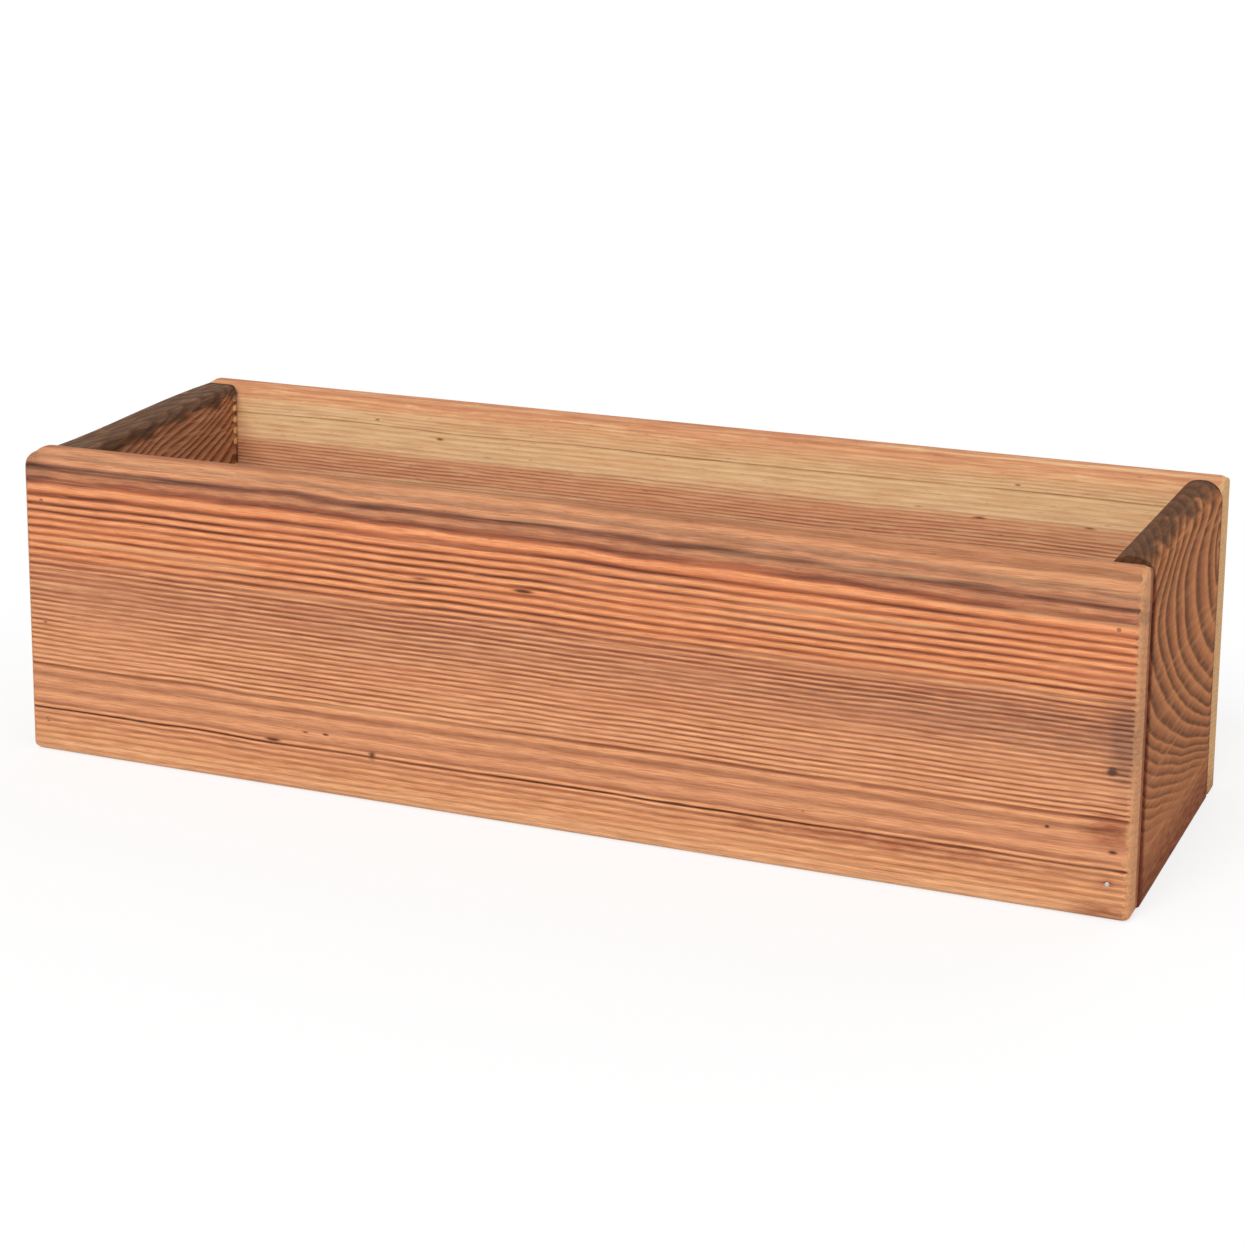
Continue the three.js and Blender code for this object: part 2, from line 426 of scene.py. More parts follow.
def ring_wood(nodes, along, look, ragged):
    """The rings' colour with a painted highlight on each ring's pale band, how dark they are from 0
    to 1, and the colour of their lines.
    """
    low, high = look["span"]
    level = nodes.math("DIVIDE", nodes.math("SUBTRACT", nodes.attribute("layer"), low),
                       high - low)

    def by_level(key):
        return nodes.ramp(level, [((height - low) / (high - low), value)
                                  for height, value in sorted(look[key])])

    jitter = nodes.math("MULTIPLY", ragged, look["ragged"])
    season = nodes.math("FRACT", nodes.math("ADD", nodes.attribute("ring"), jitter))
    early, late, contrast = by_level("early"), by_level("late"), by_level("contrast")
    dark = nodes.ramp(season, look["line"])
    pale = nodes.ramp(season, look["pale"])
    patchy = nodes.noise(streak_sizes(along, 70, 6), 2, 0.5, 4.0)
    strength = nodes.remap(patchy, 0.25, 0.7, 1 - 0.35 * look["patchy"], 1 + 0.15 * look["patchy"])
    strength = nodes.math("MULTIPLY", contrast, strength)
    strength = nodes.math("MULTIPLY", strength,
                          nodes.math("SUBTRACT", 1.0, nodes.attribute("fade")))
    # Painted highlight: each ring's pale band is lifted towards a highlight colour, partly paler
    # early wood and partly the light caught by the brushed ridges.
    highlight_strength = nodes.math("MULTIPLY", pale, nodes.math("MULTIPLY", strength, look["highlight_strength"]))
    colour = nodes.mix(highlight_strength, early, look["highlight_and_mottle_colour"])
    colour = nodes.mix(nodes.math("MULTIPLY", dark, strength, clamp=True), colour, late)
    return colour, dark, late


def add_fibres(nodes, along, look, fibre, colour):
    """Fine fibres, and wider streaks, flecks and mottling of redder or paler wood."""
    colour = nodes.tint(nodes.remap(fibre, 0.32, 0.72, 0, look["fibre"]), colour, FIBRE_SHADE)
    streak = nodes.noise(streak_sizes(along, 120, 2.4), 3, 0.6, 13.0)
    colour = nodes.mix(nodes.remap(streak, 0.50, 0.72, 0, 0.5), colour, look["streak"])
    blond = nodes.noise(streak_sizes(along, 160, 3.6), 3, 0.6, 17.0)
    colour = nodes.mix(nodes.remap(blond, 0.52, 0.76, 0, 0.5), colour, look["blond"])
    fleck = nodes.noise(streak_sizes(along, 7, 0.8), 2, 0.5, 21.0)
    colour = nodes.tint(nodes.remap(fleck, 0.64, 0.78, 0, 0.5), colour, FLECK_SHADE)
    mottle = nodes.noise(streak_sizes(along, 24, 2.2), 4, 0.65, 50.0)
    colour = nodes.tint(nodes.remap(mottle, 0.42, 0.66, 0, look["mottle"]), colour, MOTTLE_SHADE)
    return nodes.mix(nodes.remap(mottle, 0.30, 0.46, look["mottle"], 0), colour, look["highlight_and_mottle_colour"])


def add_sanded_ends(nodes, look, ragged, dark, late, colour):
    """Sanded and worn ends, whose border follows the harder rings."""
    edge = nodes.math("ADD", nodes.attribute("edge"), nodes.math("MULTIPLY", dark, look["tooth"]))
    edge = nodes.math("ADD", edge, nodes.math("MULTIPLY", ragged, look["tear"]))
    sanded = nodes.remap(edge, look["sand_reach"], look["sand_reach"] + 0.7, 1.0, 0.0)
    grit = nodes.noise((1.6, 1.6, 1.6), 3, 0.6, 30.0)
    bare = nodes.tint(nodes.remap(grit, 0.35, 0.75), look["sanded"], GRIT_SHADE)
    bare = nodes.mix(nodes.math("MULTIPLY", dark, look["end_rings"]), bare, late)
    return nodes.mix(sanded, colour, bare)


def add_stain_shade_and_weather(nodes, along, look, colour):
    """Stain round nails and at damp ends, painted shade in the joints between boards, and wood that
    the weather has greyed.
    """
    blot = nodes.math("SUBTRACT", nodes.noise(streak_sizes(along, 14, 3), 4, 0.65, 40.0), 0.5)
    for cause in ("stain_and_shade", "grey"):
        field = nodes.attribute(cause)
        patch = nodes.math("ADD", field, nodes.math("MULTIPLY", blot, 1.2))
        cover = nodes.math("MULTIPLY", nodes.remap(patch, 0.0, 1.0), nodes.remap(field, 0, 0.3))
        colour = nodes.tint(cover, colour, look[cause])
    return colour


def add_knots(nodes, look, ragged, colour):
    """Knots, flecks and cracks."""
    if not look["spots"]:
        return colour
    marks = 0.0
    for centre, reach, force in look["spots"]:
        mark = nodes.math("MULTIPLY", nodes.spot(centre, reach), force)
        marks = nodes.math("MAXIMUM", marks, mark)
    torn = nodes.math("ADD", marks, nodes.math("MULTIPLY", ragged, 0.9))
    found = nodes.math("MULTIPLY", nodes.remap(torn, 0.25, 0.75, 0, 0.95),
                       nodes.remap(marks, 0.0, 0.15))
    return nodes.mix(found, colour, look["knot"])


def wood_material(name, along, look):
    """Old softwood: rings from the mesh's fields, with fibres, stains, sanded ends and knots."""
    nodes = Nodes(name)
    ragged = nodes.math("SUBTRACT", nodes.noise(streak_sizes(along, 50, 1.6), 3, 0.6, 1.0), 0.5)
    fibre = nodes.noise(streak_sizes(along, 14, 0.5), 4, 0.65, 8.0)
    colour, dark, late = ring_wood(nodes, along, look, ragged)
    colour = add_fibres(nodes, along, look, fibre, colour)
    colour = add_sanded_ends(nodes, look, ragged, dark, late, colour)
    colour = add_stain_shade_and_weather(nodes, along, look, colour)
    colour = add_knots(nodes, look, ragged, colour)
    nodes.link(colour, nodes.shader.inputs["Base Color"])
    rough = nodes.math("ADD", 0.65, nodes.math("MULTIPLY", fibre, 0.25))
    nodes.link(rough, nodes.shader.inputs["Roughness"])
    nodes.shader.inputs["Specular IOR Level"].default_value = WOOD_SPECULAR
    nodes.bump(fibre, 0.3, 0.25)
    return nodes.material


# A look is what one wood's material needs:
#   span: the lowest and highest layer that its lists of levels cover
#   early, late: colours of the wood and of its latewood lines, by level
#   contrast: how strong the lines are, by level, and patchy: how much that varies
#   line, pale: how dark and how pale a ring is, from one latewood line to the next
#   ragged: how far the lines fray, in rings
#   highlight_strength, highlight_and_mottle_colour: how strongly each ring's pale band is lifted
#   by a painted highlight, partly paler early wood and partly light on the brushed ridges, and
#   the highlight's colour, which pale mottling also takes
#   streak, blond, fibre, mottle: colours of streaks, and how strong fibres and mottling are
#   sanded, end_rings, sand_reach, tooth, tear: bare wood near the ends, how well its rings
#   show, how far it reaches in millimetres, and how it follows the rings and frays
#   stain, grey: shades of stain and weathering, and knot: the colour of knots
#   stain_and_shade, grey: shades of stain, also used for painted shade in the joints, and of
#   weathering, and knot: the colour of knots
# The colours were set, and corrected until the mean colours of the faces that the
# photograph shows came near it at each height. Their spots are where it shows them.
# How dark each ring is, and where its pale band with the painted highlight lies, from one latewood
# line to the next.
EVEN_LINE = [(0.0, 1.0), (0.09, 0.82), (0.21, 0.30), (0.35, 0.0),
             (0.63, 0.0), (0.77, 0.30), (0.89, 0.82), (0.96, 1.0)]
EVEN_HIGHLIGHT_BAND = [(0.20, 0.0), (0.36, 1.0), (0.60, 0.9), (0.78, 0.0)]
SOFT_LINE = [(0.0, 1.0), (0.08, 0.75), (0.20, 0.10), (0.42, 0.0),
             (0.66, 0.25), (0.85, 0.85), (0.95, 1.0)]
SOFT_HIGHLIGHT_BAND = [(0.09, 0.0), (0.17, 1.0), (0.28, 0.7), (0.54, 0.0)]

LONG_BOARD = (RIM_ROUND, FOOT_ROUND, BUTT_ROUND)
LONG_CORNERS = {(1, 1): CORNER_ROUND, (-1, 1): CORNER_ROUND,
                (1, -1): CORNER_ROUND, (-1, -1): CORNER_ROUND}
END_CORNERS = {(1, -1): END_BOARD_EASE, (-1, -1): END_BOARD_EASE}


def nail_heads(*words):
    """Where the heads of the nails named with all these words are, in millimetres."""
    heads = []
    for node in sorted(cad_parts):
        if "nail" in node and all(word in node for word in words):
            low, high = box_mm(node)
            head = (low + high) / 2
            if node.startswith("corner"):
                head[Y] = low[Y] if "front" in node else high[Y]
            elif node.startswith("slat"):
                head[Z] = high[Z]
            else:
                head[X] = low[X] if head[X] > 0 else high[X]
            heads.append(head)
    return heads


# --------------------------------------------------------- the front board
# Places on it are heights above the ground where a growth layer meets the
# front face. The pith lies above the board, and a latewood line lies at each
# whole ring number. Most of the heights from 22 to 164 were measured on the
# photograph's dark lines, at the middle of the board.
FRONT_RINGS = ((-20, 50.5), (4.5, 44), (22.2, 39), (25, 38), (28, 37), (44, 35), (49.6, 34),
               (104.4, 14), (108, 13), (137.2, 6), (142.2, 5), (149.8, 4), (157.5, 3),
               (163.8, 2), (170, 1.2), (215, -4), (262, -9))
FRONT_PITH = (-62, 262)
# How far the grain runs down towards the right end, above the middle of the board.
FRONT_SLOPE = ((-300, -1.5), (0, 0), (60, 1.4), (150, 2.5), (300, 4.4))
FRONT_RELIEF = ((0, 0.03), (48, 0.03), (54, 0.08), (104, 0.06), (110, 0.14), (160, 0.14),
                (166, 0.05))

FRONT_LOOK = {
    "span": (0, 180),
    "early": [(0, srgb(240, 194, 150)), (7, srgb(232, 178, 132)), (12, srgb(222, 162, 116)),
              (22, srgb(214, 154, 114)), (34, srgb(218, 156, 116)), (48, srgb(204, 146, 108)),
              (54, srgb(228, 166, 124)), (72, srgb(218, 154, 114)), (90, srgb(192, 133, 102)),
              (98, srgb(186, 123, 94)), (106, srgb(200, 130, 96)), (112, srgb(234, 144, 96)),
              (138, srgb(234, 143, 96)), (147, srgb(232, 138, 92)), (151, srgb(206, 124, 87)),
              (155, srgb(192, 120, 88)), (160, srgb(182, 126, 97)), (165, srgb(212, 156, 117)),
              (169, srgb(194, 136, 100)), (171, srgb(184, 127, 92)), (180, srgb(184, 128, 93))],
    "late": [(0, srgb(182, 122, 80)), (22, srgb(150, 96, 66)), (25, srgb(84, 48, 34)),
             (28, srgb(160, 104, 76)), (48, srgb(144, 90, 64)), (72, srgb(146, 92, 67)),
             (104, srgb(128, 78, 59)), (110, srgb(112, 68, 50)), (142, srgb(112, 68, 52)),
             (150, srgb(110, 76, 64)), (157, srgb(104, 74, 62)), (161, srgb(130, 100, 80)),
             (168, srgb(164, 120, 90))],
    "contrast": [(0, 0.4), (20, 0.7), (23, 0.9), (25, 1.6), (27, 0.9), (31, 0.4),
                 (45, 0.6), (49.5, 1.2), (53, 0.9), (70, 0.85), (84, 0.85), (96, 0.8),
                 (102, 0.8), (108, 0.95), (142, 0.95), (148, 0.8), (154, 0.75), (158, 1.0),
                 (163, 0.45), (180, 0.5)],
    "line": EVEN_LINE,
    "pale": EVEN_HIGHLIGHT_BAND,
    "patchy": 1.0,
    "ragged": 0.14,
    "highlight_strength": 0.75,
    "highlight_and_mottle_colour": srgb(255, 184, 132),
    "streak": srgb(194, 124, 90),
    "blond": srgb(228, 172, 124),
    "fibre": 0.9,
    "mottle": 0.12,
    "sanded": srgb(210, 154, 112),
    "stain_and_shade": srgb(188, 160, 160),
    "grey": srgb(200, 204, 218),
    "knot": srgb(84, 52, 40),
    "tooth": 0.8,
    "tear": 1.2,
    "sand_reach": 2.2,
    "end_rings": 0.15,
    "spots": [
        ((-64, -103, 123), (15, 12, 1.8), 0.7),
        ((-7, -103, 123), (10, 12, 2.0), 0.85),
        ((-92, -103, 26), (5, 12, 4.5), 0.8),
        ((-150, -103, 26.3), (9, 12, 1.7), 1.0),
        ((-131, -103, 33), (4.5, 12, 1.2), 0.8),
        ((-119, -103, 33.2), (3.5, 12, 1.2), 0.8),
        ((76, -103, 25.5), (22, 12, 1.5), 0.8),
        ((260, -103, 42), (2.2, 12, 2.0), 0.8),
        ((141, -103, 31.5), (2.0, 12, 1.8), 0.7),
        ((289, -103, 73), (4.5, 12, 4.5), 0.8),
        ((291, -103, 34), (4, 12, 2.0), 0.8),
        ((292, -103, 142), (4, 12, 3.0), 0.4),
    ],
}
# Heights of small pale chips beside the right end's arris.
FRONT_CHIPS = (44.7, 40.7, 29.3)


def front_wood(points, low, high):
    x, y, z = points.T
    layer = layer_height(points, FRONT_PITH, low[Y], -1)
    layer += 0.25 * drift(points, 3, (200, 500, 90)) + 0.14 * drift(points, 4, (70, 300, 25))
    layer += 0.6 * drift(points, 5, (75, 300, 40)) * smooth(z, 136, 152)
    layer += curve(x, FRONT_SLOPE) * smooth(z, 88, 122)
    layer += 2.4 * smooth(x, 150, 240) * smooth(z, 132, 146)
    ring = curve(layer, FRONT_RINGS)
    edge = np.minimum(x - low[X], high[X] - x)
    stain_and_shade = 0.8 * spot(points, (high[X] - 10, low[Y], 45), (24, 30, 14))
    stain_and_shade += 0.7 * spot(points, (high[X] - 12, low[Y], 4), (30, 30, 8))
    stain_and_shade += 0.5 * spot(points, (190, low[Y], 22), (170, 30, 8))
    for head in FRONT_NAILS:
        if head[X] > 0 and head[Z] < 100:
            stain_and_shade += 0.5 * spot(points, head, (5, 5, 5))
    stain_and_shade *= smooth(edge, 1, 3.5)
    # Both ends are darkened over the inner half of their end grain: painted shade in the joints
    # with the end boards, with some stain.
    stain_and_shade += 1.2 * smooth(y, high[Y] - 12, high[Y] - 5) * smooth(-edge, -1.5, -0.5)
    grey = 1.0 * spot(points, (high[X] - 4, low[Y], 86), (13, 30, 38)) * smooth(edge, 1, 3.5)
    grey += 0.4 * spot(points, (high[X] - 30, low[Y], 90), (300, 60, 32))
    grey += 1.0 * spot(points, (low[X], low[Y], 156), (24, 30, 13))
    # Weather has browned two bands below the rim, the upper one towards the right.
    grey += 0.6 * smooth(layer, 150, 152) * smooth(-layer, -158.5, -156.5)
    grey += 0.45 * smooth(layer, 158, 160) * smooth(-layer, -165, -162) * smooth(x, 20, 80)
    fade = 0.5 * spot(points, (low[X] + 45, low[Y], 80), (45, 30, 40))
    for height in FRONT_CHIPS:
        edge -= 5 * spot(points, (high[X] - 4, low[Y], height), (3.5, 6, 1.8))
    depth = ring_relief(ring, curve(layer, FRONT_RELIEF)) * smooth(edge, 2.5, 7)
    depth = np.maximum(depth, nail_pits(points, FRONT_NAILS, Y))
    return {"depth": depth, "ring": ring, "layer": layer, "edge": edge, "stain_and_shade": stain_and_shade,
            "grey": grey, "fade": fade}


def front_worn(points):
    """The front board is worn down, and a little more towards its left end."""
    return FRONT_WEAR + FRONT_LEFT_WEAR * smooth(-points[:, X], 150, 300)


FRONT_NAILS = nail_heads("corner", "front")
CORNER_NAIL_COLUMNS = sorted({round(head[X], 3) for head in FRONT_NAILS})

add_board("front_board", X, front_wood,
          wood_material("front_old_pine", X, FRONT_LOOK), LONG_BOARD,
          {**LONG_CORNERS, (-1, 1): WORN_CORNER_ROUND}, LONG_STEPS, CORNER_NAIL_COLUMNS,
          front_worn)


# ---------------------------------------------------------- the back board
# Places on it are heights where a growth layer meets its inner face.
BACK_RINGS = ((-60, -30), (0, 0), (60, 22), (122, 52), (138, 60), (153.5, 65), (165, 71),
              (172, 73), (200, 78), (260, 86))
BACK_PITH = (60, -150)
BACK_RELIEF = ((0, 0.10), (120, 0.14), (138, 0.12), (144, 0.04), (170, 0.05))

BACK_LOOK = {
    "span": (0, 180),
    "early": [(0, srgb(214, 154, 106)), (40, srgb(210, 148, 104)), (80, srgb(218, 154, 108)),
              (122, srgb(232, 164, 124)), (135, srgb(240, 176, 132)), (139, srgb(255, 214, 164)),
              (150, srgb(255, 218, 164)), (156, srgb(255, 214, 162)), (162, srgb(242, 188, 140)),
              (165, srgb(220, 158, 116)), (170, srgb(206, 144, 106)), (180, srgb(204, 142, 104))],
    "late": [(0, srgb(150, 98, 68)), (60, srgb(146, 92, 64)), (122, srgb(140, 92, 68)),
             (136, srgb(160, 106, 78)), (142, srgb(214, 158, 110)), (152, srgb(204, 142, 92)),
             (154, srgb(150, 92, 60)), (156, srgb(208, 150, 102)), (172, srgb(180, 120, 86))],
    "contrast": [(0, 0.5), (100, 0.6), (124, 0.8), (136, 0.6), (142, 0.3), (152, 0.4),
                 (153.5, 0.9), (155, 0.4), (170, 0.5)],
    "line": SOFT_LINE,
    "pale": SOFT_HIGHLIGHT_BAND,
    "patchy": 1.0,
    "ragged": 0.3,
    "highlight_strength": 0.4,
    "highlight_and_mottle_colour": srgb(255, 228, 176),
    "streak": srgb(238, 178, 130),
    "blond": srgb(255, 228, 176),
    "fibre": 0.4,
    "mottle": 0.25,
    "sanded": srgb(216, 174, 126),
    "stain_and_shade": srgb(180, 140, 130),
    "grey": srgb(200, 205, 215),
    "knot": srgb(120, 72, 48),
    "tooth": 0.8,
    "tear": 1.2,
    "sand_reach": 2.2,
    "end_rings": 0.2,
    "spots": [
        ((173, 82, 137), (7, 12, 1.6), 0.7),
        ((232, 82, 137.5), (8, 12, 1.8), 0.65),
        ((193, 82, 156.7), (4, 12, 1.1), 0.8),
        ((139, 82, 139.7), (8, 12, 1.1), 0.7),
        ((-185, 82, 157), (4, 12, 1.3), 0.8),
        ((-145, 82, 149), (5, 12, 1.8), 0.7),
        ((-115, 82, 141.3), (9, 12, 1.2), 0.6),
        ((60, 103, 96), (9, 14, 7), 1.0),
        ((-170, 103, 52), (6, 14, 5), 0.9),
    ],
}


def back_wood(points, low, high):
    x, y, z = points.T
    layer = layer_height(points, BACK_PITH, low[Y], 1)
    layer += 0.6 * drift(points, 13, (260, 500, 100)) + 0.2 * drift(points, 14, (90, 300, 25))
    layer += 9 * spot(points, (60, high[Y], 96), (60, 30, 22)) * np.tanh((z - 96) / 3)
    layer += 6 * spot(points, (-170, high[Y], 52), (40, 30, 15)) * np.tanh((z - 52) / 3)
    ring = curve(layer, BACK_RINGS)
    edge = np.minimum(x - low[X], high[X] - x)
    stain_and_shade = 0.5 * smooth(-z, -20, 0)
    for head in BACK_NAILS:
        stain_and_shade += 0.5 * spot(points, head, (5, 5, 5))
    grey = 0.6 * spot(points, (-120, high[Y], 140), (150, 30, 30))
    depth = ring_relief(ring, curve(layer, BACK_RELIEF)) * smooth(edge, 2.5, 7)
    depth = np.maximum(depth, nail_pits(points, BACK_NAILS, Y))
    return {"depth": depth, "ring": ring, "layer": layer, "edge": edge, "stain_and_shade": stain_and_shade,
            "grey": grey, "fade": np.zeros(len(points))}


BACK_NAILS = nail_heads("corner", "back")

add_board("back_board", X, back_wood,
          wood_material("back_old_pine", X, BACK_LOOK), LONG_BOARD,
          {**LONG_CORNERS, (1, -1): BACK_CORNER_ROUND}, LONG_STEPS, CORNER_NAIL_COLUMNS)


# ----------------------------------------------------------- the end boards
# Flat sawn, so that the rings run out of the face in nested arches. Places on
# them are distances from the pith, which bends away from the board's outer face.
# Most of the distances were worked out from where the photograph's dark lines
# cross the right board.
END_RINGS = ((0, -2), (37, 0), (55.5, 1), (69, 2), (77, 3), (84.5, 4), (90, 5), (96, 6),
             (102, 7), (106.5, 8), (109.8, 9), (113.6, 10), (117.5, 11), (121.8, 12),
             (126, 13), (133, 15), (137, 16), (240, 42))
END_PITH_Y = 75
END_PITH_BEND = 58
END_RELIEF = 0.06

END_LOOK = {
    "span": (0, 200),
    "early": [(0, srgb(174, 112, 74)), (60, srgb(184, 118, 76)), (100, srgb(168, 107, 69)),
              (130, srgb(176, 113, 74)), (158, srgb(172, 111, 72)), (200, srgb(160, 103, 68))],
    "late": [(0, srgb(112, 70, 42)), (110, srgb(114, 72, 44)), (150, srgb(120, 76, 47)),
             (200, srgb(128, 80, 52))],
    "contrast": [(0, 1.0), (96, 1.0), (114, 0.8), (136, 0.7), (146, 0.5), (156, 0.4), (200, 0.4)],
    "line": SOFT_LINE,
    "pale": SOFT_HIGHLIGHT_BAND,
    "patchy": 0.2,
    "ragged": 0.06,
    "highlight_strength": 0.7,
    "highlight_and_mottle_colour": srgb(224, 152, 96),
    "streak": srgb(158, 98, 66),
    "blond": srgb(198, 136, 90),
    "fibre": 0.7,
    "mottle": 0.15,
    "sanded": srgb(255, 214, 160),
    "stain_and_shade": srgb(170, 140, 132),
    "grey": srgb(146, 156, 166),
    "knot": srgb(70, 42, 30),
    "tooth": 0.6,
    "tear": 0.8,
    "sand_reach": 1.0,
    "end_rings": 0.1,
    "spots": [],
}
LEFT_END_LOOK = {
    **END_LOOK,
    "early": [(0, srgb(200, 146, 108)), (100, srgb(198, 144, 107)), (200, srgb(190, 138, 103))],
    "late": [(0, srgb(118, 80, 58)), (200, srgb(126, 86, 62))],
    "contrast": [(0, 1.0), (200, 0.9)],
    "highlight_and_mottle_colour": srgb(230, 172, 128),
    "mottle": 0.4,
}
# Heights of the pale splinters along the upright joint inside the box.
SPLINTERS = (162.0, 156.0, 149.0, 142.5, 136.0, 121.0, 104.0)


def end_wood(out, arch, stretch, start, wander, seed, worn=unworn):
    """The wood of an end board.

    out is 1 for the right board and -1 for the left one, arch is the height of its
    arches' middle, stretch is how much flatter they are above it, start is how much
    nearer to the pith its rings begin, and wander is how far they stray.
    """
    def wood(points, low, high):
        x, y, z = points.T
        top = high[Z] - worn(points)
        face = high[X] if out > 0 else low[X]
        inward = (face - x) * out
        thickness = high[X] - low[X]
        away = np.sqrt(np.maximum(END_PITH_BEND * (END_PITH_Y - y), 1)) + inward
        rise = (z - arch) * np.where(z > arch, stretch, 1)
        layer = np.hypot(away, rise) - start
        layer += wander * drift(points, seed, (90, 160, 70))
        layer += 0.3 * wander * drift(points, seed + 1, (60, 50, 25))
        ring = curve(layer, END_RINGS)
        front_edge, back_edge = y - low[Y], high[Y] - y
        chips = sum(spot(points, (face - out * thickness, high[Y] - 2, height), (6, 5.5, 3.2))
                    for height in SPLINTERS)
        # Darker along the outer face's front edge beside the front board's end, and along the back
        # edge: painted shade in the joints with the long boards, with some stain.
        joint_shade = smooth(-front_edge, -9, -1) * smooth(-z, -165, -150) * smooth(-inward, -4, -1)
        stain_and_shade = 0.6 * smooth(-z, -34, -5) + 0.9 * joint_shade + 0.9 * smooth(-back_edge, -4, -1)
        stain_and_shade *= 1 - np.minimum(1.5 * chips, 1)
        # Weather greys the top, and most of all its side towards the inside.
        fog = z - top + 0.22 * (inward - thickness / 2)
        fog += 2.5 * drift(points, seed + 2, (40, 30, 30)) + 9 * smooth(-front_edge, -3, -0.5)
        grey = 0.95 * smooth(fog, -10, 0)
        fade = 0.7 * smooth(-z - 0.06 * y, -38, -24) + 0.5 * smooth(fog, -9, -1)
        depth = ring_relief(ring, END_RELIEF) * smooth(np.minimum(front_edge, back_edge), 1, 4)
        return {"depth": depth * (1 - fade), "ring": ring, "layer": layer,
                "edge": 5 - 9 * chips, "stain_and_shade": stain_and_shade, "grey": grey,
                "fade": np.clip(fade, 0, 1)}
    return wood


def left_end_worn(points):
    """The left end board sits lower towards the front."""
    return LEFT_END_DROP * smooth(-points[:, Y], -72, 78)


right_end_wood = end_wood(out=1, arch=138, stretch=1.8, start=0, wander=0.9, seed=31)
left_end_wood = end_wood(out=-1, arch=40, stretch=1.0, start=22, wander=2.0, seed=47,
                         worn=left_end_worn)
add_board("right_end_board", Y, right_end_wood,
          wood_material("right_end_old_pine", Y, END_LOOK),
          (RIM_ROUND, END_BOARD_EASE, END_BOARD_EASE), END_CORNERS, END_STEPS)
add_board("left_end_board", Y, left_end_wood,
          wood_material("left_end_old_pine", Y, LEFT_END_LOOK),
          (LEFT_END_RIM_ROUND, END_BOARD_EASE, END_BOARD_EASE), END_CORNERS, END_STEPS,
          worn=left_end_worn)


# ---------------------------------------------------- the floor and its cleats
FLOOR_LOOK = {
    "span": (0, 200),
    "early": [(0, srgb(206, 156, 112)), (100, srgb(198, 146, 102)), (200, srgb(204, 152, 108))],
    "late": [(0, srgb(150, 100, 68)), (200, srgb(146, 98, 66))],
    "contrast": [(0, 0.6), (200, 0.6)],
    "line": SOFT_LINE,
    "pale": SOFT_HIGHLIGHT_BAND,
    "patchy": 1.0,
    "ragged": 0.2,
    "highlight_strength": 0.3,
    "highlight_and_mottle_colour": srgb(224, 176, 130),
    "streak": srgb(170, 118, 80),
    "blond": srgb(214, 168, 122),
    "fibre": 1.0,
    "mottle": 0.3,
    "sanded": srgb(206, 154, 108),
    "stain_and_shade": srgb(180, 160, 150),
    "grey": srgb(180, 185, 190),
    "knot": srgb(90, 56, 40),
    "tooth": 0.8,
    "tear": 1.2,
    "sand_reach": 0.8,
    "end_rings": 0.5,
    "spots": [],
}
# How wide the floor's rings are, and how deep its early wood lies, in millimetres.
FLOOR_RING = 3.4
FLOOR_RELIEF = 0.12


def sawn_wood(along, seed, heads, axis):
    """Plain sawn wood whose pith lies well off the piece."""
    random = np.random.default_rng(seed)
    pith = random.uniform(40, 80), random.uniform(-60, 60)

    def wood(points, low, high):
        middle = (low + high) / 2
        aside = points[:, 1 - along] - middle[1 - along] - pith[1]
        above = points[:, Z] - middle[Z] + pith[0]
        wander = 1.5 * drift(points, seed, (160, 160, 60))
        layer = np.hypot(aside, above) + wander
        ring = layer / FLOOR_RING
        place = points[:, along]
        edge = np.minimum(place - low[along], high[along] - place)
        stain_and_shade = 0.4 + 0.4 * drift(points, seed + 5, (120, 120, 60))
        stain_and_shade += sum(0.5 * spot(points, head, (6, 6, 6)) for head in heads)
        grey = 0.4 + 0.4 * drift(points, seed + 6, (200, 200, 80))
        depth = np.maximum(ring_relief(ring, FLOOR_RELIEF), nail_pits(points, heads, axis))
        return {"depth": depth, "ring": ring, "layer": layer, "edge": edge, "stain_and_shade": stain_and_shade,
                "grey": grey, "fade": np.zeros(len(points))}
    return wood


slat_material = wood_material("slat_sawn_pine", X, FLOOR_LOOK)
slats = sorted(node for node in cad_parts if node.startswith("floor_slat"))
for count, node in enumerate(slats):
    heads = nail_heads("slat", "_" + node[-1] + "_")
    add_board(node, X, sawn_wood(X, 61 + 7 * count, heads, Z), slat_material,
              (SLAT_EASE, SLAT_EASE, SLAT_EASE), {}, SLAT_STEPS,
              sorted({round(head[X], 3) for head in heads}))

cleat_material = wood_material("cleat_sawn_pine", Y, FLOOR_LOOK)
for count, side in enumerate(("left", "right")):
    heads = nail_heads("cleat", side)
    add_board(side + "_cleat", Y, sawn_wood(Y, 91 + 7 * count, heads, X),
              cleat_material, (CLEAT_EASE, CLEAT_EASE, CLEAT_EASE), {}, CLEAT_STEPS,
              sorted(round(head[Y], 3) for head in heads))


# ----------------------------------------------------------------- the nails
NAIL_SIDES = 24
# How thick the head is with the neck below it, and how long the point is.
HEAD_HEIGHT = 1.1
POINT_LENGTH = 3.0
# How thick the shank is, as a share of the head.
SHANK_SHARE = {"corner": 0.72, "floor": 0.53}


